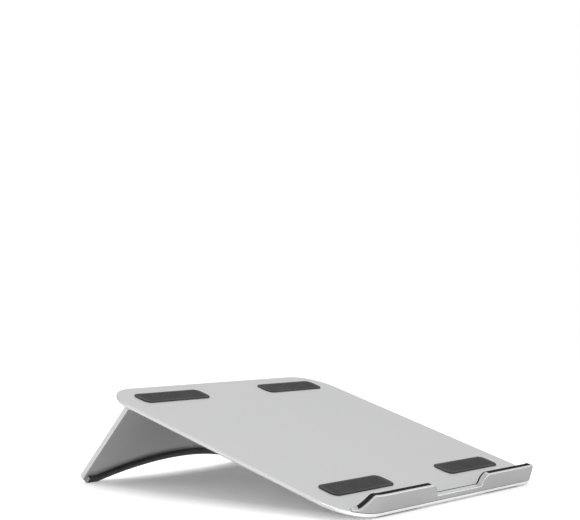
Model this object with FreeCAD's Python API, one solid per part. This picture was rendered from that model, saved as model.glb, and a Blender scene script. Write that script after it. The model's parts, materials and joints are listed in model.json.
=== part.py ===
"""Folding laptop stand: a sloping aluminium tray with a notched front lip and a hinged rear leg.

The tray, lip and leg are modelled flat, each in its own plane, and then turned to the
angles at which the stand is used.  Origin: centre of the footprint, on the desk.
+X is the user's right, +Y points to the rear, +Z up.  Millimetres and degrees.
"""
import FreeCAD, Part
import math
import os

V = FreeCAD.Vector

# ---- stand as it is set up --------------------------------------------------------
tray_tilt = 17.1            # slope of the tray above the desk
leg_slope = 48.6            # slope of the opened leg below the horizontal
front_gap = 0.55            # desk to the underside of the tray at its front edge

# ---- tray -------------------------------------------------------------------------
tray_width = 227.0
tray_depth = 216.0
tray_thick = 3.1
tray_corner = 27.0
tray_top_round = 0.5
tray_bottom_round = 2.0

# ---- front lip --------------------------------------------------------------------
lip_thick = 3.6
lip_height = 10.8           # above the tray's top face
lip_end_angle = 45.0        # how far round the tray's corners the lip reaches
lip_tip_height = 0.9
lip_flare_inset = 11.7      # foot of the slope at each end of the lip
lip_flare_round = 6.0
lip_shoulder_inset = 19.4   # top of the slope at each end of the lip
lip_shoulder_round = 3.0
lip_edge_round = 0.7
notch_floor_height = 3.3    # above the tray's top face
notch_floor_half = 27.4
notch_top_half = 29.6
notch_floor_round = 2.2
notch_top_round = 6.2
flange_rear = 17.0          # the lip's flange is let into the tray as far back as this
flange_end_gap = 2.5        # start of the tray's round corner to the end of the flange
flange_corner = 4.0
lip_screw_count = 5
lip_screw_setback = 12.0
lip_screw_end_gap = 12.0    # end of the flange to its last screw
lip_head_cover = 0.2        # tray metal between the screw heads and the flange
lip_screw_cover = 0.25      # metal left over the tips of the lip's screws

# ---- lip liner --------------------------------------------------------------------
liner_thick = 1.2
liner_drop = 0.25           # the liner stops this far below the lip's edge
liner_end_angle = 41.0
flap_width = 2.3            # the liner laps this far over the top of the lip
flap_thick = 0.8
flap_start = 4.6            # top of the notch's slope to the end of the flap
flap_low = 2.2              # lowest end of the flap, above the tray's top face

# ---- pads and feet ----------------------------------------------------------------
pad_length = 64.0
pad_width = 16.0
pad_corner = 5.0
pad_pocket = 0.8
pad_proud = 0.8
pad_edge_round = 0.35
pad_outset = 6.0            # middle of the bracket below to the middle of the pad
front_pad_setback = 35.0
foot_length = 44.0
foot_width = 5.2
foot_setback = 5.8          # front edge of the tray to the foot's centre line

# ---- hinge ------------------------------------------------------------------------
axis_inset = 7.3            # rear edge of the tray to the hinge axis
barrel_gap = 1.0            # barrel to the underside of the tray
fold_gap = 0.5              # folded leg's strip to the underside of the tray
pin_radius = 2.0
pin_bore_gap = 0.35         # pin to the barrel's own bore
bush_running_gap = 0.05
bush_wall = 0.85
bush_length = 6.0
bush_flange_wide = 0.8
bush_flange_thick = 0.5
barrel_wall = 1.1           # outside the bushes
washer_thick = 0.6
washer_wide = 1.8           # pin to the washer's rim
washer_clearance = 0.15     # washer to bush flange
lug_width = 7.0
lug_wall = 2.4
bracket_inset = 33.0        # side of the leg to the middle of the bracket
bracket_base_width = 28.0
bracket_base_length = 16.6
bracket_base_thick = 2.4
bracket_corner = 3.0
bracket_screw_pitch = 18.0
bracket_screw_short = 0.2   # screw tips stop this far inside the base
stop_gap = 0.1              # heel of the opened leg to the tray's underside
heel_front = 0.6            # heel's bearing face, measured behind the hinge axis
heel_rear = 4.6
heel_foot_height = 2.2
cap_plug_length = 2.6
cap_head_thick = 0.8
cap_head_inset = 0.5        # rim of the barrel to the rim of the cap
pin_end_gap = 0.6
turned_end_round = 0.4      # on the ends of the pin and the rims of the caps

# ---- leg --------------------------------------------------------------------------
leg_side_inset = 22.5       # side of the tray to the side of the leg
leg_thick = 3.6
leg_edge_round = 0.5
leg_corner = 5.0
leg_notch_gap = 1.6         # bracket's eye to the bottom of the leg's notch
leg_notch_round = 1.5
arch_rise = 16.0
arch_foot = 12.8            # side of the leg to the end of its arch
arch_blend = 5.8
strip_width = 5.2
strip_proud = 2.7
strip_groove = 0.8
strip_chamfer = 1.0
strip_end_gap = 3.5         # side of the leg to the end of the strip
sole_depth = 1.35           # how far across the strip's thickness the flat sole reaches

# ---- screws: shank radius, head radius, head height, socket across flats ----------
lip_screw = (1.25, 2.25, 1.4, 1.5)
bracket_screw = (1.5, 2.75, 1.65, 2.0)
screw_clearance = 0.12
socket_depth = 0.9

# ---- worked out -------------------------------------------------------------------
half_width = tray_width / 2
half_leg = half_width - leg_side_inset
flange_half = half_width - tray_corner - flange_end_gap
flange_thick = tray_thick - lip_screw[2] - lip_head_cover
lip_screw_pitch = 2 * (flange_half - lip_screw_end_gap) / (lip_screw_count - 1)
foot_x = flange_half - foot_length / 2
bracket_x = half_leg - bracket_inset
pad_x = bracket_x + pad_outset
strip_face = leg_thick / 2 + strip_proud
bush_outer = pin_radius + bush_running_gap + bush_wall
bush_flange_radius = bush_outer + bush_flange_wide
washer_radius = pin_radius + washer_wide
lug_radius = pin_radius + lug_wall
barrel_bore = pin_radius + pin_bore_gap
barrel_radius = bush_outer + barrel_wall
cap_head_radius = barrel_radius - cap_head_inset
leg_notch_depth = lug_radius + leg_notch_gap
axis_drop = max(barrel_radius + barrel_gap, strip_face + fold_gap)
opening_angle = tray_tilt + leg_slope
axis_v = tray_depth - axis_inset
tilt = math.radians(tray_tilt)
slope = math.radians(leg_slope)
axis_y = axis_v * math.cos(tilt) + axis_drop * math.sin(tilt)
axis_z = front_gap + axis_v * math.sin(tilt) - axis_drop * math.cos(tilt)
leg_reach = (axis_z - (strip_face - sole_depth) * math.cos(slope)) / math.sin(slope)
lip_top = tray_thick + lip_height
rearmost = axis_y + leg_reach * math.cos(slope) + leg_thick / 2 * math.sin(slope)
foremost = -lip_top * math.sin(tilt)
y_shift = -(rearmost + foremost) / 2
pocket_floor = tray_thick - pad_pocket
bracket_screw_v = axis_v - lug_radius - bracket_base_length / 2
rear_pad_setback = bracket_screw_v
side_gap = bush_flange_thick + washer_clearance + washer_thick
knuckle_half = lug_width / 2 + side_gap
arch_half_span = half_leg - arch_foot
strip_half = half_leg - strip_end_gap
arch_radius = (arch_half_span ** 2 + arch_rise ** 2) / (2 * arch_rise)
arch_centre = leg_reach - arch_rise + arch_radius
blend_centre = leg_reach - arch_blend
blend_x = math.sqrt((arch_radius + arch_blend) ** 2 - (arch_centre - blend_centre) ** 2)
blend_turn = math.atan2(blend_x, arch_centre - blend_centre)
join_x = blend_x - arch_blend * math.sin(blend_turn)


# ---- drawing helpers --------------------------------------------------------------
def plan(a, b, level=0.0):
    """Point in the plan of the tray or leg."""
    return V(a, b, level)


def front_view(a, b, level=0.0):
    """Point in the front view: across, and up."""
    return V(a, level, b)


def side_view(a, b, level=0.0):
    """Point in the side view: back, and up."""
    return V(level, a, b)


def rounded_face(corners, view):
    """Face inside straight runs through corners (a, b, radius); radius 0 leaves one sharp."""
    count = len(corners)
    runs = []
    for i in range(count):
        a, b, radius = corners[i]
        here = V(a, b, 0)
        back = V(corners[i - 1][0], corners[i - 1][1], 0) - here
        ahead = V(corners[(i + 1) % count][0], corners[(i + 1) % count][1], 0) - here
        back.normalize()
        ahead.normalize()
        if radius == 0:
            runs.append((here, None, here))
            continue
        half = back.getAngle(ahead) / 2
        reach = radius / math.tan(half)
        inward = back + ahead
        inward.normalize()
        middle = here + inward * (radius / math.sin(half) - radius)
        runs.append((here + back * reach, middle, here + ahead * reach))
    edges = []
    for i in range(count):
        entry, middle, leave = [p and view(p.x, p.y) for p in runs[i]]
        if middle:
            edges.append(Part.Arc(entry, middle, leave).toShape())
        following = view(runs[(i + 1) % count][0].x, runs[(i + 1) % count][0].y)
        if leave.distanceToPoint(following) > 1e-6:
            edges.append(Part.LineSegment(leave, following).toShape())
    return Part.Face(Part.Wire(Part.__sortEdges__(edges)))


def rounded_rectangle(x_mid, y_mid, length, width, radius, bottom, top):
    """Upright slab with rounded corners, in the plan of the tray."""
    a, b = length / 2, width / 2
    corners = [(x_mid - a, y_mid - b, radius), (x_mid + a, y_mid - b, radius),
               (x_mid + a, y_mid + b, radius), (x_mid - a, y_mid + b, radius)]
    slab = rounded_face(corners, plan).extrude(V(0, 0, top - bottom))
    slab.translate(V(0, 0, bottom))
    return slab


def block(x_low, x_high, y_low, y_high, z_low, z_high):
    """Plain rectangular block between two corners."""
    return Part.makeBox(x_high - x_low, y_high - y_low, z_high - z_low, V(x_low, y_low, z_low))


def rod(radius, x_low, x_high, y=0.0, z=0.0):
    """Round rod lying along X."""
    return Part.makeCylinder(radius, x_high - x_low, V(x_low, y, z), V(1, 0, 0))


def round_edges(solid, radius, wanted):
    """Fillet the edges whose points all satisfy the test."""
    edges = [e for e in solid.Edges if all(wanted(p) for p in e.discretize(5))]
    return solid.makeFillet(radius, edges)


def mirrored(solid):
    """The same piece for the other side of the stand."""
    return solid.mirror(V(0, 0, 0), V(1, 0, 0))


def csk_screw(sizes, length, tip, heading):
    """Countersunk socket screw with its tip at tip; heading is the way it is driven."""
    shank, head, head_height, socket = sizes
    shank_part = Part.makeCylinder(shank, length, V(0, 0, 0), V(0, 0, 1))
    head_part = Part.makeCone(head, shank, head_height)
    corners = [(socket / math.sqrt(3) * math.cos(math.radians(60 * k)),
                socket / math.sqrt(3) * math.sin(math.radians(60 * k)), 0) for k in range(6)]
    hexagon = rounded_face(corners, plan).extrude(V(0, 0, socket_depth))
    screw = shank_part.fuse(head_part).removeSplitter().cut(hexagon)
    if heading < 0:
        screw.rotate(V(0, 0, 0), V(1, 0, 0), 180)
    screw.translate(V(tip.x, tip.y, tip.z - heading * length))
    return screw


def csk_hole(sizes, point, heading, depth):
    """Clearance hole with the countersink that such a screw sits in."""
    shank, head, head_height, _ = sizes
    hole = Part.makeCylinder(shank + screw_clearance, depth, V(0, 0, 0), V(0, 0, 1))
    hole = hole.fuse(Part.makeCone(head, shank, head_height))
    if heading < 0:
        hole.rotate(V(0, 0, 0), V(1, 0, 0), 180)
    hole.translate(point)
    return hole


def on_tray(shape):
    """Turn a shape from the tray's own plane to its place on the desk."""
    placed = shape.copy()
    placed.rotate(V(0, 0, 0), V(1, 0, 0), tray_tilt)
    placed.translate(V(0, y_shift, front_gap))
    return placed


def above_desk(shape):
    """What is left of a placed shape above the desk."""
    reach = 2 * max(tray_width, tray_depth)
    return shape.cut(block(-reach, reach, -reach, reach, -reach, 0))


def on_leg(shape):
    """Turn a shape from the leg's own plane, with the hinge axis at zero, to its place."""
    placed = shape.copy()
    placed.rotate(V(0, 0, 0), V(1, 0, 0), -leg_slope)
    placed.translate(V(0, axis_y + y_shift, axis_z))
    return placed


# ---- where the screws go ----------------------------------------------------------
lip_screw_xs = [lip_screw_pitch * (k - (lip_screw_count - 1) / 2) for k in range(lip_screw_count)]
bracket_screw_xs = [bracket_x - bracket_screw_pitch / 2, bracket_x + bracket_screw_pitch / 2]


def tray_outline(inset, bottom, top):
    """Slab with the tray's outline, drawn in from its edge by inset."""
    return rounded_rectangle(0, tray_depth / 2, tray_width - 2 * inset, tray_depth - 2 * inset,
                             tray_corner - inset, bottom, top)


def flange_slab():
    """The lip's flange, which fills the shallow step in the tray."""
    middle = (lip_thick + flange_rear) / 2
    slab = block(-flange_half, flange_half, lip_thick / 2, middle,
                 tray_thick - flange_thick, tray_thick)
    rear = rounded_rectangle(0, middle, 2 * flange_half, flange_rear - lip_thick, flange_corner,
                             tray_thick - flange_thick, tray_thick)
    return slab.fuse(rear).removeSplitter()


def pad_slab(setback, bottom, top):
    """Right-hand pad, or the pocket it sits in."""
    return rounded_rectangle(pad_x, setback, pad_length, pad_width, pad_corner, bottom, top)


def tray_plate():
    plate = tray_outline(0, 0, tray_thick)
    plate = round_edges(plate, tray_bottom_round, lambda p: p.z < 0.01)
    plate = round_edges(plate, tray_top_round, lambda p: p.z > tray_thick - 0.01)
    cuts = [flange_slab()]
    for setback in (front_pad_setback, rear_pad_setback):
        pocket = pad_slab(setback, pocket_floor, tray_thick + 1)
        cuts += [pocket, mirrored(pocket)]
    for x in lip_screw_xs:
        cuts.append(csk_hole(lip_screw, V(x, lip_screw_setback, 0), 1, tray_thick))
    for x in bracket_screw_xs:
        for side in (-1, 1):
            cuts.append(csk_hole(bracket_screw, V(side * x, bracket_screw_v, pocket_floor), -1,
                                 tray_thick))
    return plate.cut(Part.makeCompound(cuts))


def lip_envelope(drop, end_angle):
    """Space the lip is cut to: level top, sloped ends, finger notch, radial end faces."""
    top = lip_top - drop
    floor = tray_thick + notch_floor_height - drop
    tip = tray_thick + lip_tip_height - drop
    right = [(notch_floor_half + drop, floor, notch_floor_round),
             (notch_top_half + drop, top, notch_top_round),
             (half_width - lip_shoulder_inset - drop, top, lip_shoulder_round),
             (half_width - lip_flare_inset - drop, tip, lip_flare_round),
             (half_width + lip_flare_inset, tip, 0), (half_width + lip_flare_inset, tray_thick, 0)]
    left = [(-a, b, radius) for a, b, radius in reversed(right)]
    prism = rounded_face(right + left, front_view).extrude(V(0, tray_corner + 2, 0))
    prism.translate(V(0, -1, 0))
    corner_x = half_width - tray_corner
    far = 2 * tray_corner
    end_x = corner_x + far * math.sin(math.radians(end_angle))
    end_y = tray_corner - far * math.cos(math.radians(end_angle))
    wedge = [(-corner_x, tray_corner, 0), (-end_x, end_y, 0), (end_x, end_y, 0),
             (corner_x, tray_corner, 0)]
    return prism.common(rounded_face(wedge, plan).extrude(V(0, 0, 2 * lip_top)))


def flap_space(top_drop):
    """Skin along the lip's top and sloped ends, outside the notch, that the flaps fill."""
    skin = lip_envelope(top_drop, lip_end_angle)
    below = lip_envelope(liner_drop, lip_end_angle)
    below.translate(V(0, 0, -flap_thick))
    band = tray_outline(lip_thick - flap_width, tray_thick, lip_top)
    band = band.cut(tray_outline(lip_thick, 0, lip_top + 1))
    start = notch_top_half + flap_start
    right = block(start, half_width, -1, tray_corner, tray_thick + flap_low, lip_top + 1)
    return skin.cut(below).common(band).common(Part.makeCompound([right, mirrored(right)]))


def front_lip():
    band = tray_outline(0, tray_thick, lip_top).cut(tray_outline(lip_thick, 0, lip_top + 1))
    wall = band.common(lip_envelope(0, lip_end_angle))
    lowest = tray_thick + lip_tip_height - 0.05

    def on_front_rim(p):
        corner_x = half_width - tray_corner
        if p.z < lowest:
            return False
        if abs(p.x) <= corner_x:
            return p.y < 0.01
        return math.hypot(abs(p.x) - corner_x, p.y - tray_corner) > tray_corner - 0.01

    wall = round_edges(wall, lip_edge_round, on_front_rim).cut(flap_space(0))
    lip = wall.fuse(flange_slab()).removeSplitter()
    holes = [Part.makeCylinder(lip_screw[0], tray_thick - lip_screw_cover,
                               V(x, lip_screw_setback, 0)) for x in lip_screw_xs]
    return lip.cut(Part.makeCompound(holes))


def lip_liner():
    outer = tray_outline(lip_thick, tray_thick, lip_top)
    band = outer.cut(tray_outline(lip_thick + liner_thick, 0, lip_top + 1))
    band = band.common(lip_envelope(liner_drop, liner_end_angle))
    return band.fuse(flap_space(liner_drop)).removeSplitter()


def lip_screws():
    tip = tray_thick - lip_screw_cover
    screws = [csk_screw(lip_screw, tip, V(x, lip_screw_setback, tip), 1) for x in lip_screw_xs]
    return Part.makeCompound(screws)


def pad(setback):
    """Right-hand pad: a strip with a softened top edge, pressed into its pocket."""
    top = tray_thick + pad_proud
    return round_edges(pad_slab(setback, pocket_floor, top), pad_edge_round,
                       lambda p: p.z > top - 0.01)


def front_foot():
    """Right-hand foot: a bar glued under the tray and cut level with the desk."""
    bar = rounded_rectangle(foot_x, foot_setback, foot_length, foot_width, foot_width / 2 - 0.1,
                            -2 * foot_width, 0)
    return above_desk(on_tray(bar))


def hinge_bracket():
    """Right-hand bracket: a screwed base with one lug for the hinge pin."""
    base_front = axis_v - lug_radius - bracket_base_length
    base = rounded_rectangle(bracket_x, base_front + bracket_base_length / 2, bracket_base_width,
                             bracket_base_length, bracket_corner, -bracket_base_thick, 0)
    low, high = bracket_x - lug_width / 2, bracket_x + lug_width / 2
    shoulder = block(low, high, base_front + bracket_corner, axis_v + lug_radius,
                     -bracket_base_thick, 0)
    neck = block(low, high, axis_v - lug_radius, axis_v + lug_radius, -axis_drop, 0)
    eye = rod(lug_radius, low, high, axis_v, -axis_drop)
    bracket = base.fuse([shoulder, neck, eye]).removeSplitter()
    bores = [rod(pin_radius, low - 1, high + 1, axis_v, -axis_drop)]
    for x in bracket_screw_xs:
        bores.append(Part.makeCylinder(bracket_screw[0], 2 * bracket_base_thick,
                                       V(x, bracket_screw_v, -1.5 * bracket_base_thick)))
    return bracket.cut(Part.makeCompound(bores))


def bracket_screws():
    length = pocket_floor + bracket_base_thick - bracket_screw_short
    screws = []
    for side in (-1, 1):
        for x in bracket_screw_xs:
            tip = V(side * x, bracket_screw_v, pocket_floor - length)
            screws.append(csk_screw(bracket_screw, length, tip, -1))
    return Part.makeCompound(screws)


def hinge_pin():
    half = half_leg - cap_plug_length - pin_end_gap
    pin = rod(pin_radius, -half, half)
    pin = round_edges(pin, turned_end_round, lambda p: abs(p.x) > half - 0.01)
    pin.translate(V(0, axis_v, -axis_drop))
    return pin


def friction_washers():
    rings = []
    for side in (-1, 1):
        for face in (-1, 1):
            middle = side * bracket_x + face * (lug_width + washer_thick) / 2
            low, high = middle - washer_thick / 2, middle + washer_thick / 2
            ring = rod(washer_radius, low, high, axis_v, -axis_drop)
            rings.append(ring.cut(rod(pin_radius, low - 1, high + 1, axis_v, -axis_drop)))
    return Part.makeCompound(rings)


def bush(face):
    """Flanged bush in the barrel beside the right-hand lug; face is +1 outside, -1 inside."""
    start = knuckle_half
    body = rod(bush_outer, start, start + bush_length)
    flange = rod(bush_flange_radius, start - bush_flange_thick, start)
    bore = rod(pin_radius + bush_running_gap, start - 1, start + bush_length + 1)
    piece = body.fuse(flange).removeSplitter().cut(bore)
    if face < 0:
        piece = mirrored(piece)
    piece.translate(V(bracket_x, 0, 0))
    return piece


def pin_cap():
    """Right-hand plug that closes the end of the barrel."""
    plug = rod(barrel_bore, half_leg - cap_plug_length, half_leg)
    head = rod(cap_head_radius, half_leg, half_leg + cap_head_thick)
    cap = plug.fuse(head).removeSplitter()
    return round_edges(cap, turned_end_round, lambda p: p.x > half_leg + cap_head_thick - 0.01)


def rim_line(inset):
    """Edges of the leg's lower end drawn up by inset: feet, blends, arch, rounded corners."""
    small = arch_blend - inset
    foot = leg_reach - inset

    def on_blend(turn):
        return V(blend_x - small * math.sin(turn), blend_centre + small * math.cos(turn), 0)

    join, bend = on_blend(blend_turn), on_blend(blend_turn / 2)
    right = [(V(blend_x, foot, 0), bend, join)]
    if inset == 0:
        turned = leg_corner * (1 - math.sqrt(0.5))
        side = V(half_leg, foot - leg_corner, 0)
        inner = V(half_leg - leg_corner, foot, 0)
        right.append((side, V(half_leg - turned, foot - turned, 0), inner))
        right.append((inner, None, V(blend_x, foot, 0)))
    else:
        right.append((V(half_leg, foot, 0), None, V(blend_x, foot, 0)))
    edges = [Part.Arc(V(-join.x, join.y, 0), V(0, arch_centre - arch_radius - inset, 0),
                      join).toShape()]
    for side in (-1, 1):
        for start, middle, end in right:
            points = [V(side * p.x, p.y, 0) for p in (start, middle, end) if p]
            curve = Part.Arc(*points) if middle else Part.LineSegment(*points)
            edges.append(curve.toShape())
    return edges


def rim_height(x):
    """How far down the leg its rim lies, at a distance x from the middle."""
    if x > half_leg - leg_corner:
        overhang = x - half_leg + leg_corner
        return leg_reach - leg_corner + math.sqrt(max(leg_corner ** 2 - overhang ** 2, 0))
    if x >= blend_x:
        return leg_reach
    if x >= join_x:
        return blend_centre + math.sqrt(arch_blend ** 2 - (blend_x - x) ** 2)
    return arch_centre - math.sqrt(arch_radius ** 2 - x ** 2)


def leg_slab(depth, low, high):
    """Slab that reaches up from the leg's rim by depth, or to the axis, between two levels."""
    if depth is None:
        top = 0
        edges = [Part.LineSegment(V(-half_leg, 0, 0), V(half_leg, 0, 0)).toShape()]
    else:
        top = leg_reach - depth
        edges = rim_line(depth)
    edges += rim_line(0)
    for x in (-half_leg, half_leg):
        edges.append(Part.LineSegment(V(x, leg_reach - leg_corner, 0), V(x, top, 0)).toShape())
    slab = Part.Face(Part.Wire(Part.__sortEdges__(edges))).extrude(V(0, 0, high - low))
    slab.translate(V(0, 0, low))
    return slab


def leg_plate():
    half = leg_thick / 2
    plate = leg_slab(None, -half, half)

    def on_rim(p):
        return abs(abs(p.z) - half) < 0.01 and (abs(p.x) > half_leg - 0.01 or p.y > 0.5 * leg_reach)

    plate = round_edges(plate, leg_edge_round, on_rim)
    barrel = rod(barrel_radius, -half_leg, half_leg)
    height = axis_drop - stop_gap
    heel_corners = [(0, 0, 0), (heel_front, height, 0), (heel_rear, height, 0),
                    (heel_rear, heel_foot_height, 0)]
    heel = rounded_face(heel_corners, side_view).extrude(V(2 * half_leg, 0, 0))
    heel.translate(V(-half_leg, 0, 0))
    heel.rotate(V(0, 0, 0), V(1, 0, 0), opening_angle)
    leg = plate.fuse([barrel, heel]).removeSplitter()
    cuts = [rod(barrel_bore, -half_leg - 1, half_leg + 1)]
    for side in (-1, 1):
        middle = side * bracket_x
        gap = rounded_rectangle(middle, 0, 2 * knuckle_half, 2 * leg_notch_depth, leg_notch_round,
                                -2 * barrel_radius, 2 * barrel_radius)
        counterbore = rod(bush_outer, middle - knuckle_half - bush_length,
                          middle + knuckle_half + bush_length)
        cuts += [gap, counterbore]
    groove = leg_slab(strip_width, -half - 1, -half + strip_groove)
    cuts.append(groove.common(block(-strip_half, strip_half, 0, 2 * leg_reach, -leg_thick, 0)))
    return leg.cut(Part.makeCompound(cuts))


def leg_rubber_strip():
    """Rubber strip let into the front of the leg along its rim, cut level where it stands."""
    strip = leg_slab(strip_width, -strip_face, strip_groove - leg_thick / 2)

    def on_outer_rim(p):
        return abs(p.z + strip_face) < 0.01 and p.y > rim_height(abs(p.x)) - 0.02

    edges = [e for e in strip.Edges if all(on_outer_rim(p) for p in e.discretize(5))]
    strip = strip.makeChamfer(strip_chamfer, edges)
    strip = strip.common(block(-strip_half, strip_half, 0, 2 * leg_reach,
                               -2 * strip_face, strip_face))
    return above_desk(on_leg(strip))


# ---- all pieces ------------------------------------------------------------------
nodes = {
    "tray_plate": on_tray(tray_plate()),
    "front_lip": on_tray(front_lip()),
    "lip_liner": on_tray(lip_liner()),
    "lip_screws": on_tray(lip_screws()),
    "bracket_screws": on_tray(bracket_screws()),
    "hinge_pin": on_tray(hinge_pin()),
    "friction_washers": on_tray(friction_washers()),
    "leg_plate": on_leg(leg_plate()),
    "leg_rubber_strip": leg_rubber_strip(),
}
right_hand = {
    "front_pad": on_tray(pad(front_pad_setback)),
    "rear_pad": on_tray(pad(rear_pad_setback)),
    "front_foot": front_foot(),
    "hinge_bracket": on_tray(hinge_bracket()),
    "outer_bush": on_leg(bush(1)),
    "inner_bush": on_leg(bush(-1)),
    "pin_cap": on_leg(pin_cap()),
}
for name, shape in right_hand.items():
    nodes[name + "_right"] = shape
    nodes[name + "_left"] = mirrored(shape)

os.makedirs("parts", exist_ok=True)
for name, shape in nodes.items():
    assert shape.isValid(), name
    shape.exportStep("parts/" + name + ".step")
    box = shape.BoundBox
    print("%-20s solids %d  volume %9.1f  y %7.2f %7.2f  z %6.2f %6.2f" % (
        name, len(shape.Solids), shape.Volume, box.YMin, box.YMax, box.ZMin, box.ZMax))
print("hinge axis y %.3f z %.3f  leg reach %.3f  fold %.2f" % (
    axis_y + y_shift, axis_z, leg_reach, 180 - opening_angle))
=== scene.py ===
"""Looks of a folding aluminium laptop stand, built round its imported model.

The scene is in metres.  Soft pieces are drawn in millimetres, flat in the plan of the tray or of
the leg, and then set in place.  Both plans hang on the model's hinge axis, and the pads and feet
take their middles from the model's boxes.
"""
import bmesh
import bpy
import json
import math
from mathutils import Matrix, Vector


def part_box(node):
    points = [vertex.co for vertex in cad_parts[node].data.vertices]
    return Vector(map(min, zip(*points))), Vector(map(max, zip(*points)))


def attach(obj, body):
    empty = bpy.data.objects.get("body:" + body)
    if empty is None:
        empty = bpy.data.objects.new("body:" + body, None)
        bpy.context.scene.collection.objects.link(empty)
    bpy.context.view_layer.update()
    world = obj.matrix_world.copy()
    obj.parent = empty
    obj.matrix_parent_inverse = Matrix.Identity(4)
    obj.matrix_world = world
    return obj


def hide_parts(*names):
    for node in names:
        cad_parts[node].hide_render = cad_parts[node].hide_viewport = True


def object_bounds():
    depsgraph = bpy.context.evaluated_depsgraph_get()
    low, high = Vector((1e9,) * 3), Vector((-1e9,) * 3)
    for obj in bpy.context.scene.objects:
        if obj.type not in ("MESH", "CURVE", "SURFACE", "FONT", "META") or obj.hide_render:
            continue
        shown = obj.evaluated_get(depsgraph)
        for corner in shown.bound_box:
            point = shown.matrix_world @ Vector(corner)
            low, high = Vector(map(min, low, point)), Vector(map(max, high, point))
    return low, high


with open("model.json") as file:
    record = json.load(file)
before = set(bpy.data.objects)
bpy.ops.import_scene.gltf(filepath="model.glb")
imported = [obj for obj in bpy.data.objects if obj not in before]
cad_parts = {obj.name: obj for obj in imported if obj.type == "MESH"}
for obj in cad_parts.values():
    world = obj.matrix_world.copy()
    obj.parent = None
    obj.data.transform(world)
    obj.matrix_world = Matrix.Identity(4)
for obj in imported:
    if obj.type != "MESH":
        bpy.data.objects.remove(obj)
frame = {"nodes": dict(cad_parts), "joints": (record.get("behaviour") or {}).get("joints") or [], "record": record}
cad_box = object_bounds()
nodes = frame["nodes"]
hinge = frame["joints"][0]
MM = 0.001
TOUCH = 1e-4                # millimetres: levels closer than this are one level
ON_RIM = 1e-3               # millimetres: how near a point on the strip's rim lies to it
MERGE_METRES = 2e-7         # points closer than this are joined
CORNER_STEPS = 10           # faces round a rounded corner
CREASE = 0.8                # radians past which an edge is a corner to be rounded
SHARP, GENTLE = 30.0, 40.0  # degrees between faces up to which shading runs on

# ---- sizes of the stand, in millimetres and degrees ----------------------------------
TRAY_TILT = 17.1
TRAY_WIDTH = 227.0
TRAY_DEPTH = 216.0
TRAY_THICK = 3.1
TRAY_CORNER = 27.0
AXIS_SETBACK, AXIS_DROP = 7.3, 5.0      # hinge axis from the tray's rear edge and underside
LIP_THICK = 3.6
LIP_HEIGHT = 10.8
LEG_SLOPE = 48.6
LEG_THICK = 3.6
LEG_REACH = 73.395
HALF_LEG = 91.0

# ---- pads, feet, liner and strip ------------------------------------------------------
PAD_LENGTH, PAD_WIDTH, PAD_CORNER = 64.0, 16.0, 5.0
PAD_POCKET, PAD_PROUD = 0.8, 0.8
PAD_ROUND = 0.45            # rounding of the top edge
PAD_RIM = 1.5               # plain border round the ribbed field
PAD_FIELD_END = 2.0         # plain length left at each end of the field
PAD_GROOVES = 23
GROOVE_FROM, GROOVE_TO = 0.28, 0.72     # where a groove lies in its pitch
GROOVE_DEPTH, GROOVE_SLOPE = 0.35, 0.18
FOOT_LENGTH, FOOT_WIDTH, FOOT_SETBACK = 44.0, 5.2, 5.8
FOOT_BLANK = 8.0            # height before it is cut level with the desk
FOOT_END_ROUND, FOOT_SOLE_ROUND = 2.45, 0.4
LINER_THICK, LINER_DROP, LINER_ROUND = 1.2, 0.25, 0.25
LINER_END = 41.0            # degrees that the liner turns round each front corner
BEND_STEPS = 14
FLAP_WIDTH, FLAP_THICK, FLAP_START, FLAP_LOW, FLAP_TIP_ROUND = 2.3, 0.8, 4.6, 2.2, 0.4
NOTCH_FLOOR_HALF, NOTCH_TOP_HALF, NOTCH_FLOOR_HEIGHT = 27.4, 29.6, 3.3
NOTCH_FLOOR_ROUND, NOTCH_TOP_ROUND = 2.2, 6.2
SHOULDER_INSET, FLARE_INSET, TIP_HEIGHT, SHOULDER_ROUND = 19.4, 11.7, 0.9, 3.0
# Painted shadow: sizes of the dark strip laid in the seam between lip and tray.
SEAM_SHADOW_FACE, SEAM_SHADOW_BACK, SEAM_SHADOW_HEIGHT = 0.03, 0.5, 0.3
SEAM_SHADOW_END, SEAM_SHADOW_STEPS = LINER_END + 4, 18
STRIP_WIDTH, STRIP_PROUD, STRIP_GROOVE = 5.2, 2.7, 0.8
STRIP_CHAMFER, STRIP_INNER_ROUND, STRIP_END_GAP, STRIP_COLUMNS = 1.0, 0.35, 3.5, 220
ARCH_RISE, ARCH_HALF_SPAN, ARCH_BLEND, LEG_CORNER = 16.0, 78.2, 5.8, 5.0

# ---- camera ---------------------------------------------------------------------------
CAMERA_PLACE = Vector((-0.7273, -0.5647, 0.1260))
CAMERA_HEADING = 51.6       # degrees from straight back, towards the right
CAMERA_PITCH = 1.78         # degrees above level
CAMERA_LENS, CAMERA_SENSOR = 82.57, 36.0
CAMERA_NEAR, CAMERA_FAR = 0.01, 30.0


def make_camera():
    """Camera low at the stand's front left."""
    data = bpy.data.cameras.new("camera")
    data.lens = CAMERA_LENS
    data.sensor_width = CAMERA_SENSOR
    data.clip_start = CAMERA_NEAR
    data.clip_end = CAMERA_FAR
    camera = bpy.data.objects.new("camera", data)
    camera.location = CAMERA_PLACE
    camera.rotation_euler = (math.radians(90 + CAMERA_PITCH), 0, math.radians(-CAMERA_HEADING))
    bpy.context.scene.collection.objects.link(camera)
    bpy.context.scene.camera = camera


make_camera()

# ---- where the tray and the leg stand ---------------------------------------------------
axis_point = Vector(hinge["pos_m"])


def tray_place():
    """From the tray's own plan (x, back from its front edge, up from its underside)."""
    turn = Matrix.Rotation(math.radians(TRAY_TILT), 4, "X")
    at_axis = turn @ Vector((0, (TRAY_DEPTH - AXIS_SETBACK) * MM, -AXIS_DROP * MM))
    return Matrix.Translation(axis_point - at_axis) @ turn @ Matrix.Scale(MM, 4)


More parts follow.
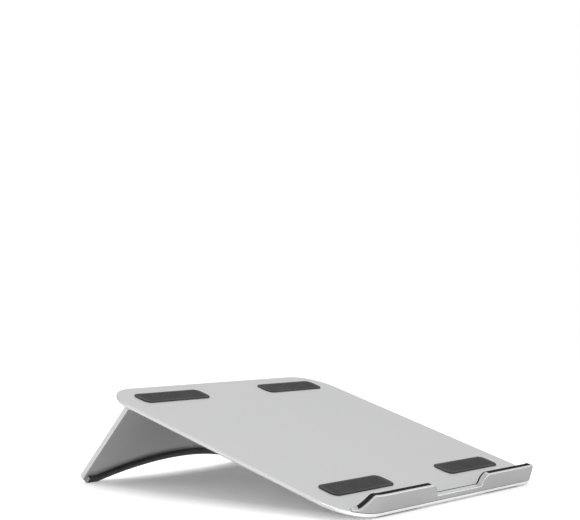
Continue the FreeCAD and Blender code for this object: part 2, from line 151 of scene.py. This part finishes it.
def leg_place():
    """From the leg's own plan (x, down the leg from the hinge axis, up and back from it)."""
    turn = Matrix.Rotation(math.radians(-LEG_SLOPE), 4, "X")
    return Matrix.Translation(axis_point) @ turn @ Matrix.Scale(MM, 4)


ON_TRAY = tray_place()
ON_LEG = leg_place()
TRAY_UP = (ON_TRAY.to_3x3() @ Vector((0, 0, 1))).normalized()
TRAY_FRONT = (ON_TRAY.to_3x3() @ Vector((0, -1, 0))).normalized()


def middle_on_tray(node):
    """Where a node's middle lies in the tray's plan, to a tenth of a millimetre."""
    low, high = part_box(node)
    middle = ON_TRAY.inverted() @ ((Vector(low) + Vector(high)) / 2)
    return round(middle.x, 1), round(middle.y, 1)


# ---- node helpers -----------------------------------------------------------------------
NOISE_LOW, NOISE_HIGH = 0.3, 0.7


class Finish:
    """A material under construction: its node tree, shader and object coordinates."""

    def __init__(self, name):
        self.material = bpy.data.materials.new(name)
        self.material.use_nodes = True
        self.tree = self.material.node_tree
        self.shader = self.tree.nodes["Principled BSDF"]
        self.place = self.tree.nodes.new("ShaderNodeTexCoord").outputs["Object"]

    def node(self, kind, **settings):
        made = self.tree.nodes.new(kind)
        for key, value in settings.items():
            setattr(made, key, value)
        return made

    def feed(self, socket, value):
        if isinstance(value, bpy.types.NodeSocket):
            self.tree.links.new(value, socket)
        else:
            socket.default_value = value

    def noise(self, scale, detail=2.0, roughness=0.5, place=None):
        made = self.node("ShaderNodeTexNoise")
        self.feed(made.inputs["Vector"], place or self.place)
        self.feed(made.inputs["Scale"], scale)
        self.feed(made.inputs["Detail"], detail)
        self.feed(made.inputs["Roughness"], roughness)
        return made.outputs["Fac"]

    def stretch(self, scale):
        made = self.node("ShaderNodeMapping")
        self.feed(made.inputs["Vector"], self.place)
        self.feed(made.inputs["Scale"], scale)
        return made.outputs["Vector"]

    def remap(self, value, low, high, to_low, to_high):
        made = self.node("ShaderNodeMapRange")
        for socket, amount in zip(made.inputs, (value, low, high, to_low, to_high)):
            self.feed(socket, amount)
        return made.outputs["Result"]

    def spread(self, pattern, to_low=0, to_high=1):
        """Stretch a noise pattern's usual range to another."""
        return self.remap(pattern, NOISE_LOW, NOISE_HIGH, to_low, to_high)

    def math(self, operation, first, second=0.5):
        made = self.node("ShaderNodeMath", operation=operation)
        self.feed(made.inputs[0], first)
        self.feed(made.inputs[1], second)
        return made.outputs["Value"]

    def mix(self, amount, first, second):
        made = self.node("ShaderNodeMix", data_type="RGBA")
        self.feed(made.inputs["Factor"], amount)
        colour_sockets = [s for s in made.inputs if s.type == "RGBA"]
        for socket, colour in zip(colour_sockets, (first, second)):
            self.feed(socket, colour)
        return [s for s in made.outputs if s.type == "RGBA"][0]

    def facing(self, direction):
        """How squarely the surface faces a direction, from -1 to 1."""
        normal = self.node("ShaderNodeNewGeometry").outputs["Normal"]
        made = self.node("ShaderNodeVectorMath", operation="DOT_PRODUCT")
        self.feed(made.inputs[0], normal)
        self.feed(made.inputs[1], tuple(direction))
        return made.outputs["Value"]

    def distance(self, point):
        """How far a point is from the middle of the scene."""
        made = self.node("ShaderNodeVectorMath", operation="LENGTH")
        self.feed(made.inputs[0], point)
        return made.outputs["Value"]

    def bump(self, *layers):
        """Stack of (height, distance in metres, strength) bumps."""
        normal = None
        for height, distance, strength in layers:
            made = self.node("ShaderNodeBump")
            self.feed(made.inputs["Height"], height)
            self.feed(made.inputs["Distance"], distance)
            self.feed(made.inputs["Strength"], strength)
            if normal:
                self.feed(made.inputs["Normal"], normal)
            normal = made.outputs["Normal"]
        self.feed(self.shader.inputs["Normal"], normal)

    def colour(self, value):
        self.feed(self.shader.inputs["Base Color"], value)

    def rough(self, value):
        self.feed(self.shader.inputs["Roughness"], value)

    def metal(self, share=1.0):
        self.shader.inputs["Metallic"].default_value = share


def grey(level, warmth=0.0):
    """A grey, slightly warm, or cool where warmth is below 0."""
    return (level * (1 + warmth), level, level * (1 - warmth), 1.0)


# ---- finishes -----------------------------------------------------------------------------
BLAST_SMOOTHEST, BLAST_ROUGHEST = 0.43, 0.54
EDGE_SMOOTHING = 0.55       # how much of the blasted roughness the edges keep
ANODISED_METAL = 0.8        # the clear skin over the metal scatters the rest
GRAZING_TINT = 0.55         # holds the glare down where a face is seen edge-on


def blasted_aluminium(name, level, edges, edge_level, tops=None, front_edge=None):
    """Bead-blasted, clear-anodised aluminium.

    edges is a mask of smoother edges painted in edge_level, a painted highlight where that is brighter
    than level and painted shade where it is darker; front_edge is the levels of the upper and lower
    half of the edge that faces the front, its brighter lower half a painted reflection of the floor;
    tops is the level of faces in the tray's plane.
    """
    skin = Finish(name)
    grain = skin.noise(scale=4200, detail=2.0, roughness=0.6)
    speckle = skin.noise(scale=1500, detail=3.0, roughness=0.7)
    drift = skin.noise(scale=22, detail=3.0, roughness=0.55)
    body = skin.mix(skin.spread(speckle),
                    grey(level * 0.93, -0.004), grey(level * 1.05, -0.002))
    body = skin.mix(skin.remap(drift, 0.35, 0.65, 0, 0.5), body, grey(level * 0.97, 0.002))
    unevenness = skin.math("ADD", skin.math("MULTIPLY", speckle, 0.6),
                           skin.math("MULTIPLY", drift, 0.4))
    rough = skin.spread(unevenness, BLAST_SMOOTHEST, BLAST_ROUGHEST)
    # Painted shade: faces in the tray's plane take the tops level, while the lip's other faces keep a darker
    # level.
    if tops:
        flat = skin.remap(skin.facing(TRAY_UP), 0.9, 0.98, 0, 1)
        body = skin.mix(flat, body, grey(tops, -0.003))
    # Edges are painted in the rim level: painted highlight where brighter than the body, painted shade where
    # darker; only their smoother roughness is the finish itself.
    mask = edges(skin)
    rim = grey(edge_level, -0.003)
    # Painted reflection: the down-turned lower half of the front edge is painted brighter, standing in for light
    # from the floor in front.
    if front_edge:
        upper, lower = front_edge
        turned_down = skin.remap(skin.facing(TRAY_UP), 0.1, -0.5, 0, 1)
        front_rim = skin.mix(turned_down, grey(upper, -0.003), grey(lower, -0.003))
        rim = skin.mix(skin.remap(skin.facing(TRAY_FRONT), 0.3, 0.7, 0, 1), rim, front_rim)
    body = skin.mix(mask, body, rim)
    rough = skin.math("MULTIPLY", rough, skin.remap(mask, 0, 1, 1.0, EDGE_SMOOTHING))
    skin.colour(body)
    skin.rough(rough)
    skin.metal(ANODISED_METAL)
    skin.shader.inputs["Specular Tint"].default_value = grey(GRAZING_TINT)
    skin.bump((grain, 0.00002, 0.35), (speckle, 0.00004, 0.18))
    return skin.material


def tray_rim(skin):
    """The tray's edge all round, where the face has turned away from flat."""
    flat = skin.math("ABSOLUTE", skin.facing(TRAY_UP))
    return skin.remap(flat, 0.97, 0.86, 0, 1)


def lip_rim(skin):
    """The rounded corner between the lip's face and its top."""
    up = skin.facing(TRAY_UP)
    front = skin.math("ABSOLUTE", skin.facing(TRAY_UP.cross(Vector((1, 0, 0)))))
    return skin.math("MULTIPLY", skin.remap(up, 0.25, 0.5, 0, 1),
                     skin.remap(front, 0.1, 0.35, 0, 1))


def leg_sides(skin):
    """The leg's two side edges."""
    side = skin.math("ABSOLUTE", skin.facing((1, 0, 0)))
    return skin.remap(side, 0.4, 0.8, 0, 1)


def machined_aluminium(name, level):
    """Milled and anodised: fine parallel tool marks."""
    skin = Finish(name)
    lines = skin.noise(scale=900, place=skin.stretch((0.05, 1.0, 1.0)))
    spots = skin.noise(scale=260, detail=3.0, roughness=0.6)
    skin.colour(skin.mix(skin.spread(lines), grey(level * 0.94), grey(level)))
    skin.rough(skin.spread(spots, 0.26, 0.38))
    skin.metal()
    skin.bump((lines, 0.00003, 0.25))
    return skin.material


def bright_steel(name, level, roughness, lengthwise):
    """Ground or plated steel, its marks running along lengthwise."""
    skin = Finish(name)
    marks = skin.noise(scale=1600, roughness=0.6, place=skin.stretch(lengthwise))
    haze = skin.noise(scale=180)
    skin.colour(skin.mix(skin.spread(haze), grey(level * 0.9, 0.01), grey(level)))
    skin.rough(skin.spread(marks, roughness - 0.05, roughness + 0.07))
    skin.metal()
    skin.bump((marks, 0.00002, 0.2))
    return skin.material


def moulded_plastic(name, colour, roughness, glow_through):
    """Moulded plastic with a fine spark-eroded texture; glow_through is its milkiness."""
    skin = Finish(name)
    pebble = skin.noise(scale=2400)
    cloud = skin.noise(scale=90)
    dark = tuple(c * 0.9 for c in colour) + (1.0,)
    skin.colour(skin.mix(skin.spread(cloud), dark, (*colour, 1.0)))
    skin.rough(skin.spread(pebble, roughness - 0.06, roughness + 0.06))
    skin.shader.inputs["Subsurface Weight"].default_value = glow_through
    skin.shader.inputs["Subsurface Scale"].default_value = 0.001
    skin.bump((pebble, 0.00003, 0.3))
    return skin.material


def moulded_rubber(name, level, roughness, gloss, dust, sheen, end_highlight=None):
    """Matt moulded rubber: pebbled skin, slight bloom, specks of dust, and end faces painted paler as a painted
    highlight.
    """
    skin = Finish(name)
    pebble = skin.noise(scale=2600, detail=3.0, roughness=0.65)
    coarse = skin.noise(scale=700)
    bloom = skin.noise(scale=60, detail=4.0, roughness=0.6)
    specks = skin.remap(skin.noise(scale=3500, detail=1.0), 0.68, 0.76, 0, 1)
    base = skin.mix(skin.remap(bloom, 0.35, 0.65, 0, 1), grey(level, 0.01),
                    grey(level * 1.45 + 0.004, 0.015))
    base = skin.mix(skin.math("MULTIPLY", specks, dust), base, grey(0.34, 0.02))
    # Painted highlight: faces turned across x, the strip's ends, are painted paler.
    if end_highlight:
        across = skin.math("ABSOLUTE", skin.facing((1, 0, 0)))
        base = skin.mix(skin.remap(across, 0.75, 0.95, 0, 1), base, grey(end_highlight, 0.01))
    skin.colour(base)
    skin.rough(skin.spread(coarse, roughness - 0.07, roughness + 0.08))
    skin.shader.inputs["Specular IOR Level"].default_value = gloss
    skin.shader.inputs["Sheen Weight"].default_value = sheen
    skin.shader.inputs["Sheen Roughness"].default_value = 0.5
    skin.bump((pebble, 0.00005, 0.45), (coarse, 0.00006, 0.2))
    return skin.material


RUBBER = dict(level=0.015, roughness=0.55, gloss=0.35, dust=0.25, sheen=0.08)
finishes = {
    # Tray: side edges painted darker than its top to hold down their highlight (painted shade); front edge painted
    # brighter, its lower half brightest (painted reflection of the floor).
    "tray_aluminium": blasted_aluminium("tray_blasted_aluminium", level=0.67, edges=tray_rim,
                                        edge_level=0.58, front_edge=(0.80, 1.00)),
    # Lip: face and ends painted darker than the tray as painted shade, tops in the tray's colour, rounded top edge
    # brighter as a painted highlight.
    "lip_aluminium": blasted_aluminium("lip_blasted_aluminium", level=0.405, edges=lip_rim,
                                       edge_level=0.68, tops=0.65),
    # Leg: painted darker than the tray, as painted shade on the same finish.
    "leg_aluminium": blasted_aluminium("leg_blasted_aluminium", level=0.54, edges=leg_sides,
                                       edge_level=0.53),
    "bracket_aluminium": machined_aluminium("bracket_milled_aluminium", level=0.60),
    "black_rubber": moulded_rubber("black_moulded_rubber", **RUBBER),
    "pad_silicone": moulded_rubber("pad_silicone_rubber", level=0.022, roughness=0.70,
                                   gloss=0.25, dust=0.30, sheen=0.05),
    "screw_steel": bright_steel("screw_nickelled_steel", 0.56, 0.24, (1, 1, 1)),
    "pin_steel": bright_steel("pin_ground_steel", 0.62, 0.20, (0.04, 1, 1)),
    "spring_steel": bright_steel("washer_spring_steel", 0.42, 0.32, (1, 1, 1)),
    "bush_acetal": moulded_plastic("bush_natural_acetal", (0.80, 0.79, 0.76), 0.42, 0.15),
    "cap_plastic": moulded_plastic("cap_grey_plastic", (0.36, 0.36, 0.37), 0.48, 0.0),
}
# Painted shade: the liner, its flaps and the seam strip get a copy of the black rubber painted darker than the
# rest.
liner_rubber = moulded_rubber("liner_rubber_painted_darker", level=0.008, roughness=0.80, gloss=0.08,
                              dust=0.15, sheen=0.0)
# The strip's end faces are painted paler: painted highlight.
strip_rubber = moulded_rubber("strip_rubber_painted_end_highlight", end_highlight=0.20, **RUBBER)
slot_of = {part["node"]: part["material_slot"] for part in frame["record"]["subparts"]}


# ---- mesh helpers ---------------------------------------------------------------------------
def points_of(faces):
    """The faces' corner points, each once, in a settled order."""
    return list(dict.fromkeys(v for f in faces for v in f.verts))


def outline_face(shape, corners, rounds):
    """Flat face through (a, b) corners, each rounded to its own radius with a vertex bevel."""
    verts = [shape.verts.new((a, b, 0)) for a, b in corners]
    shape.faces.new(verts)
    for vert, radius in zip(verts, rounds):
        if radius <= 0:
            continue
        one, other = [(e.other_vert(vert).co - vert.co) for e in vert.link_edges]
        offset = radius / math.tan(one.angle(other) / 2)
        bmesh.ops.bevel(shape, geom=[vert], offset=offset, offset_type="OFFSET",
                        segments=CORNER_STEPS, profile=0.5, material=-1, affect="VERTICES")
    return shape.faces[:]


def raise_faces(shape, faces, height):
    """Extrude flat faces up the plan's normal; returns the new top faces."""
    made = bmesh.ops.extrude_face_region(shape, geom=faces)["geom"]
    tops = [g for g in made if isinstance(g, bmesh.types.BMFace)]
    bmesh.ops.translate(shape, verts=points_of(tops), vec=(0, 0, height))
    return tops


def soften(shape, edges, width, segments=3):
    """Round or chamfer edges."""
    bmesh.ops.bevel(shape, geom=edges, offset=width, offset_type="OFFSET", segments=segments,
                    profile=0.5, material=-1, affect="EDGES", clamp_overlap=True)


def finish_piece(name, shape, place, body, replaced, slot, smooth_angle, finish=None):
    """Turn a bmesh into an object at its place, riding on its body."""
    bmesh.ops.transform(shape, matrix=place, verts=shape.verts)
    bmesh.ops.remove_doubles(shape, verts=shape.verts, dist=MERGE_METRES)
    bmesh.ops.recalc_face_normals(shape, faces=shape.faces)
    limit = math.radians(smooth_angle)
    for face in shape.faces:
        face.smooth = True
    for edge in shape.edges:
        edge.smooth = len(edge.link_faces) == 2 and edge.calc_face_angle(0.0) < limit
    mesh = bpy.data.meshes.new(name)
    shape.to_mesh(mesh)
    shape.free()
    piece = bpy.data.objects.new(name, mesh)
    mesh.materials.append(finish or finishes[slot])
    bpy.context.scene.collection.objects.link(piece)
    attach(piece, body)
    if replaced:
        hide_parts(*replaced)


def rectangle(mid_x, mid_y, length, width):
    """Corners of a rectangle about its middle."""
    a, b = length / 2, width / 2
    return [(mid_x - a, mid_y - b), (mid_x + a, mid_y - b),
            (mid_x + a, mid_y + b), (mid_x - a, mid_y + b)]


# ---- pads -----------------------------------------------------------------------------------
def make_pad(name, node):
    """Silicone pad: rounded rim and a field of cross grooves pressed into its top."""
    shape = bmesh.new()
    middle, setback = middle_on_tray(node)
    base = outline_face(shape, rectangle(middle, setback, PAD_LENGTH, PAD_WIDTH),
                        [PAD_CORNER] * 4)
    top = raise_faces(shape, base, PAD_POCKET + PAD_PROUD)[0]
    bmesh.ops.translate(shape, verts=shape.verts, vec=(0, 0, TRAY_THICK - PAD_POCKET))
    soften(shape, list(top.edges), PAD_ROUND)
    level = TRAY_THICK + PAD_PROUD - TOUCH
    top = max((f for f in shape.faces if f.calc_center_median().z > level),
              key=lambda f: f.calc_area())
    bmesh.ops.inset_region(shape, faces=[top], thickness=PAD_RIM, use_even_offset=True)
    field = [top]
    pitch = (PAD_LENGTH - 2 * PAD_RIM - 2 * PAD_FIELD_END) / PAD_GROOVES
    start = middle - pitch * PAD_GROOVES / 2
    cuts = [start + pitch * (k + share)
            for k in range(PAD_GROOVES) for share in (GROOVE_FROM, GROOVE_TO)]
    for x in cuts:
        edges = list(dict.fromkeys(e for f in field for e in f.edges))
        cut = bmesh.ops.bisect_plane(shape, geom=field + edges + points_of(field),
                                     plane_co=(x, 0, 0), plane_no=(1, 0, 0))
        field = [g for g in cut["geom"] if isinstance(g, bmesh.types.BMFace)]
    grooves = []
    for k in range(PAD_GROOVES):
        low, high = cuts[2 * k], cuts[2 * k + 1]
        grooves += [f for f in field if low < f.calc_center_median().x < high]
    bmesh.ops.inset_individual(shape, faces=grooves, thickness=GROOVE_SLOPE, depth=0,
                               use_even_offset=True)
    bmesh.ops.translate(shape, verts=points_of(grooves), vec=(0, 0, -GROOVE_DEPTH))
    finish_piece(name, shape, ON_TRAY, "tray", [node], "pad_silicone", SHARP)


for row in ("front_pad_", "rear_pad_"):
    for hand in ("left", "right"):
        make_pad("ribbed_" + row + hand, row + hand)


# ---- front feet -------------------------------------------------------------------------------
def level_with_desk(shape, place):
    """Cut a piece off level with the desk and close it."""
    desk = place.inverted() @ Vector((0, 0, 0))
    normal = (place.to_3x3().transposed() @ Vector((0, 0, 1))).normalized()
    bmesh.ops.bisect_plane(shape, geom=shape.verts[:] + shape.edges[:] + shape.faces[:],
                           plane_co=desk, plane_no=normal, clear_inner=True)
    rim = [e for e in shape.edges if e.is_boundary]
    return bmesh.ops.contextual_create(shape, geom=rim)["faces"]


def make_foot(name, node):
    """Rubber foot with round ends, cut level where it stands on the desk."""
    shape = bmesh.new()
    middle = middle_on_tray(node)[0]
    base = outline_face(shape, rectangle(middle, FOOT_SETBACK, FOOT_LENGTH, FOOT_WIDTH),
                        [FOOT_END_ROUND] * 4)
    raise_faces(shape, base, FOOT_BLANK)
    bmesh.ops.translate(shape, verts=shape.verts, vec=(0, 0, -FOOT_BLANK))
    sole = level_with_desk(shape, ON_TRAY)
    soften(shape, list(sole[0].edges), FOOT_SOLE_ROUND)
    finish_piece(name, shape, ON_TRAY, "tray", [node], "black_rubber", SHARP)


for hand in ("left", "right"):
    make_foot("soft_front_foot_" + hand, "front_foot_" + hand)


# ---- lip liner --------------------------------------------------------------------------------
HALF_TRAY = TRAY_WIDTH / 2
CORNER_X = HALF_TRAY - TRAY_CORNER
LINER_RADIUS = TRAY_CORNER - LIP_THICK
LINER_TOP = TRAY_THICK + LIP_HEIGHT - LINER_DROP
LINER_TIP = TRAY_THICK + TIP_HEIGHT - LINER_DROP
LINER_SHOULDER = HALF_TRAY - SHOULDER_INSET - LINER_DROP
LINER_FLARE = HALF_TRAY - FLARE_INSET - LINER_DROP


def bend_round_corners(shape):
    """Wrap an upright band, drawn in the front view, round the tray's front corners."""
    for vert in shape.verts:
        x, up, inward = vert.co
        beyond = abs(x) - CORNER_X
        if beyond > 0:
            turn = math.asin(min(beyond / LINER_RADIUS, 1.0))
            radius = LINER_RADIUS - inward
            vert.co = (math.copysign(CORNER_X + radius * math.sin(turn), x),
                       TRAY_CORNER - radius * math.cos(turn), up)
        else:
            vert.co = (x, LIP_THICK + inward, up)


def cut_for_bending(shape):
    """Cross cuts, so that the band bends smoothly."""
    for side in (-1, 1):
        for k in range(BEND_STEPS):
            turn = math.radians(LINER_END) * k / BEND_STEPS
            x = side * (CORNER_X + LINER_RADIUS * math.sin(turn))
            bmesh.ops.bisect_plane(shape, geom=shape.verts[:] + shape.edges[:] + shape.faces[:],
                                   plane_co=(x, 0, 0), plane_no=(1, 0, 0))


def soften_top(shape, lowest, width):
    """Round the long edges of a band's top."""
    rim = []
    for edge in shape.edges:
        one, other = edge.verts
        along = abs(one.co.z - other.co.z) < TOUCH
        crease = len(edge.link_faces) == 2 and edge.calc_face_angle(0.0) > CREASE
        if along and crease and min(one.co.y, other.co.y) > lowest:
            rim.append(edge)
    soften(shape, rim, width)


def make_liner():
    """Rubber band inside the lip: a flat profile with its notch, bent round the corners."""
    end_x = CORNER_X + LINER_RADIUS * math.sin(math.radians(LINER_END))
    floor = TRAY_THICK + NOTCH_FLOOR_HEIGHT - LINER_DROP
    right = [(NOTCH_FLOOR_HALF + LINER_DROP, floor, NOTCH_FLOOR_ROUND),
             (NOTCH_TOP_HALF + LINER_DROP, LINER_TOP, NOTCH_TOP_ROUND),
             (LINER_SHOULDER, LINER_TOP, SHOULDER_ROUND), (LINER_FLARE, LINER_TIP, 0),
             (end_x, LINER_TIP, 0), (end_x, TRAY_THICK, 0)]
    left = [(-a, b, radius) for a, b, radius in reversed(right)]
    profile = right + left
    shape = bmesh.new()
    faces = outline_face(shape, [(a, b) for a, b, _ in profile], [r for _, _, r in profile])
    raise_faces(shape, faces, LINER_THICK)
    cut_for_bending(shape)
    soften_top(shape, TRAY_THICK + LINER_DROP, LINER_ROUND)
    bend_round_corners(shape)
    finish_piece("moulded_lip_liner", shape, ON_TRAY, "tray", ["lip_liner"], "black_rubber",
                 GENTLE, liner_rubber)


def make_flap(name, side):
    """The part of the liner that laps over the lip's top and down its sloped end."""
    start = NOTCH_TOP_HALF + FLAP_START
    under = LINER_TOP - FLAP_THICK
    low = TRAY_THICK + FLAP_LOW
    run = (LINER_FLARE - LINER_SHOULDER) / (LINER_TOP - LINER_TIP)
    outer = LINER_SHOULDER + run * (LINER_TOP - low)
    inner = outer - run * FLAP_THICK
    outline = [(start, under, 0), (LINER_SHOULDER, under, SHOULDER_ROUND), (inner, low, 0),
               (outer, low, 0), (LINER_SHOULDER, LINER_TOP, SHOULDER_ROUND),
               (start, LINER_TOP, FLAP_TIP_ROUND)]
    shape = bmesh.new()
    faces = outline_face(shape, [(side * a, b) for a, b, _ in outline],
                         [r for _, _, r in outline])
    raise_faces(shape, faces, FLAP_WIDTH)
    bmesh.ops.translate(shape, verts=shape.verts, vec=(0, 0, -FLAP_WIDTH))
    cut_for_bending(shape)
    bend_round_corners(shape)
    finish_piece(name, shape, ON_TRAY, "tray", ["lip_liner"], "black_rubber", GENTLE,
                 liner_rubber)


make_liner()
for side, hand in ((-1, "left"), (1, "right")):
    make_flap("lip_top_flap_" + hand, side)


# Painted shadow: a dark strip where the seam between lip and tray is only in shade.
def make_seam_shadow_strip():
    """Thin dark strip in the groove where the lip stands on the tray's rounded edge: a painted shadow of the seam.
    """
    low = TRAY_THICK - SEAM_SHADOW_HEIGHT
    corners = ((SEAM_SHADOW_FACE, low), (SEAM_SHADOW_BACK, low), (SEAM_SHADOW_BACK, TRAY_THICK), (SEAM_SHADOW_FACE, TRAY_THICK))
    shape = bmesh.new()
    section = shape.faces.new([shape.verts.new((0, a, b)) for a, b in corners])
    run = bmesh.ops.extrude_face_region(shape, geom=[section])["geom"]
    bmesh.ops.translate(shape, verts=[g for g in run if isinstance(g, bmesh.types.BMVert)],
                        vec=(CORNER_X, 0, 0))
    end = [g for g in run if isinstance(g, bmesh.types.BMFace)]
    bmesh.ops.spin(shape, geom=end, cent=(CORNER_X, TRAY_CORNER, 0), axis=(0, 0, 1),
                   angle=math.radians(SEAM_SHADOW_END), steps=SEAM_SHADOW_STEPS)
    middle = [f for f in shape.faces if all(abs(v.co.x) < TOUCH for v in f.verts)]
    inner = [f for f in shape.faces if all(abs(v.co.x - CORNER_X) < TOUCH for v in f.verts)]
    bmesh.ops.delete(shape, geom=middle + inner, context="FACES")
    bmesh.ops.mirror(shape, geom=shape.verts[:] + shape.edges[:] + shape.faces[:], axis="X",
                     merge_dist=TOUCH)
    finish_piece("lip_seam_shadow_strip", shape, ON_TRAY, "tray", [], "black_rubber", GENTLE, liner_rubber)


make_seam_shadow_strip()


# ---- leg strip --------------------------------------------------------------------------------
arch_radius = (ARCH_HALF_SPAN ** 2 + ARCH_RISE ** 2) / (2 * ARCH_RISE)
arch_centre = LEG_REACH - ARCH_RISE + arch_radius
blend_centre = LEG_REACH - ARCH_BLEND
blend_x = math.sqrt((arch_radius + ARCH_BLEND) ** 2 - (arch_centre - blend_centre) ** 2)
blend_turn = math.atan2(blend_x, arch_centre - blend_centre)


def rim_height(x, inset):
    """How far down the leg its rim lies, drawn up by inset, at x from the middle."""
    small = ARCH_BLEND - inset
    if inset == 0 and x > HALF_LEG - LEG_CORNER:
        over = x - HALF_LEG + LEG_CORNER
        return LEG_REACH - LEG_CORNER + math.sqrt(max(LEG_CORNER ** 2 - over ** 2, 0))
    if x >= blend_x:
        return LEG_REACH - inset
    if x >= blend_x - small * math.sin(blend_turn):
        return blend_centre + math.sqrt(max(small ** 2 - (blend_x - x) ** 2, 0))
    return arch_centre - math.sqrt((arch_radius + inset) ** 2 - x ** 2)


def make_leg_strip():
    """Rubber strip along the leg's rim, from a grid bent to the arch, raised and chamfered."""
    limit = HALF_LEG - STRIP_END_GAP
    shape = bmesh.new()
    bmesh.ops.create_grid(shape, x_segments=STRIP_COLUMNS, y_segments=1, size=1.0)
    for vert in shape.verts:
        x = vert.co.x * limit
        inset = 0 if vert.co.y > 0 else STRIP_WIDTH
        vert.co = (x, rim_height(abs(x), inset), 0)
    raise_faces(shape, shape.faces[:], STRIP_PROUD + STRIP_GROOVE)
    front = -LEG_THICK / 2 - STRIP_PROUD
    bmesh.ops.translate(shape, verts=shape.verts, vec=(0, 0, front))
    rim, inner = [], []
    for edge in shape.edges:
        points = [v.co for v in edge.verts]
        if all(abs(p.z - front) < TOUCH for p in points):
            outside = [abs(p.y - rim_height(min(abs(p.x), limit), 0)) < ON_RIM for p in points]
            if all(outside):
                rim.append(edge)
            elif abs(points[0].x - points[1].x) > ON_RIM:
                inner.append(edge)
    soften(shape, rim, STRIP_CHAMFER, 1)
    inner = [e for e in inner if e.is_valid and all(abs(v.co.z - front) < TOUCH for v in e.verts)
             and len(e.link_faces) == 2 and e.calc_face_angle(0.0) > CREASE]
    soften(shape, inner, STRIP_INNER_ROUND, 2)
    level_with_desk(shape, ON_LEG)
    finish_piece("moulded_leg_strip", shape, ON_LEG, "leg", ["leg_rubber_strip"],
                 "black_rubber", SHARP, strip_rubber)


make_leg_strip()

# ---- metal and plastic parts keep the model's own shapes ----------------------------------------
for name, part in nodes.items():
    if slot_of[name] in ("black_rubber", "pad_silicone"):
        continue
    part.data.materials.clear()
    part.data.materials.append(finishes[slot_of[name]])


# ---- stage and light ----------------------------------------------------------------------------
FLOOR_RADIUS = 14.0
GLOW, GLOW_INSET = 0.27, 0.03           # painted glow of the floor, starting inside the footprint
FADE_FROM, FADE_TO = 0.45, 2.6          # where the floor turns into the pale surroundings
SOFTBOXES = (                           # name, place, aim, width, height, watts
    ("overhead_softbox", (-0.2, 0.2, 1.5), (0, 0, 0), 1.4, 1.0, 1.8),
    ("front_right_strip", (0.9, -1.1, 0.16), (0, -0.12, 0), 0.9, 0.22, 1.5),
    ("left_softbox", (-0.8, -0.12, 0.2), (0, 0.08, 0.02), 0.45, 0.25, 1.5),
)


def from_footprint(paint):
    """How far a point of the floor lies outside the stand's footprint, drawn in by GLOW_INSET."""
    point = paint.place
    corner = cad_box[1]
    half = (corner[0] - GLOW_INSET, corner[1] - GLOW_INSET, 0.0)
    for operation, amount in (("ABSOLUTE", None), ("SUBTRACT", half), ("MAXIMUM", (0, 0, 0))):
        step = paint.node("ShaderNodeVectorMath", operation=operation)
        paint.feed(step.inputs[0], point)
        if amount:
            paint.feed(step.inputs[1], amount)
        point = step.outputs["Vector"]
    return paint.distance(point)


def make_stage():
    """Pale floor that fades into the pale surroundings far from the stand.
    It glows outside the stand's footprint and not under it: painted light around the stand,
    painted shade beneath it.
    """
    paint = Finish("pale_studio_floor")
    paint.colour(paint.mix(paint.noise(scale=3.0), grey(0.90), grey(0.92)))
    paint.rough(0.85)
    paint.shader.inputs["Emission Color"].default_value = grey(1.0)
    # Painted glow: emission rises from nothing inside the footprint to GLOW just outside it.
    lift = paint.remap(from_footprint(paint), 0.0, GLOW_INSET, 0.0, GLOW)
    paint.feed(paint.shader.inputs["Emission Strength"], lift)
    surroundings = paint.node("ShaderNodeEmission")
    blend = paint.node("ShaderNodeMixShader")
    paint.feed(blend.inputs[0], paint.remap(paint.distance(paint.place), FADE_FROM, FADE_TO, 0, 1))
    paint.feed(blend.inputs[1], paint.shader.outputs["BSDF"])
    paint.feed(blend.inputs[2], surroundings.outputs["Emission"])
    output = paint.tree.nodes["Material Output"]
    paint.feed(output.inputs["Surface"], blend.outputs["Shader"])
    shape = bmesh.new()
    bmesh.ops.create_circle(shape, cap_ends=True, cap_tris=False, segments=96,
                            radius=FLOOR_RADIUS)
    mesh = bpy.data.meshes.new("studio_floor")
    shape.to_mesh(mesh)
    shape.free()
    floor = bpy.data.objects.new("studio_floor", mesh)
    mesh.materials.append(paint.material)
    bpy.context.scene.collection.objects.link(floor)


def area_light(name, place, aim, width, height, power):
    """Rectangular soft light at its place, turned to its aim."""
    data = bpy.data.lights.new(name, "AREA")
    data.shape = "RECTANGLE"
    data.size = width
    data.size_y = height
    data.energy = power
    lamp = bpy.data.objects.new(name, data)
    lamp.location = place
    lamp.rotation_euler = (Vector(aim) - Vector(place)).to_track_quat("-Z", "Y").to_euler()
    bpy.context.scene.collection.objects.link(lamp)


def light_studio():
    """White surroundings and three soft lights."""
    world = bpy.data.worlds.new("studio_air")
    world.use_nodes = True
    background = world.node_tree.nodes["Background"]
    background.inputs["Color"].default_value = grey(1.0)
    background.inputs["Strength"].default_value = 1.0
    bpy.context.scene.world = world
    for light in SOFTBOXES:
        area_light(*light)


make_stage()
light_studio()
bpy.context.scene.view_settings.view_transform = "Standard"
